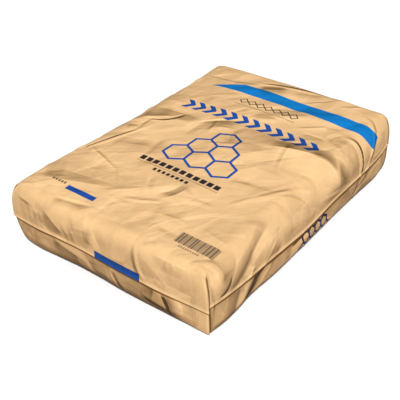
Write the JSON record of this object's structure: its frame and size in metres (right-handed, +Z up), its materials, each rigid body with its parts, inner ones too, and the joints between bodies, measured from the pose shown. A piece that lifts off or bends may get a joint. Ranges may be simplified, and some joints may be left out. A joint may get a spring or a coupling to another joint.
{
  "type": "filled cement bag",
  "caption": "Block-ended kraft paper sack filled with powder, lying flat, with a folded seam lip around its middle and sharp folded corners.",
  "frame": {"origin": "on the floor, under the middle of the bag's overall length and width", "axes": "+Z up; +Y along the bag's length, towards the head of its printed face; +X to the right of the printed face, across the bag"},
  "size_m": [0.3722, 0.5153, 0.1188],
  "materials": {
    "kraft_paper": "matte brown paper, printed in blue and black"
  },
  "bodies": {
    "root": {"paper_sack": "kraft_paper"}
  },
  "joints": []
}
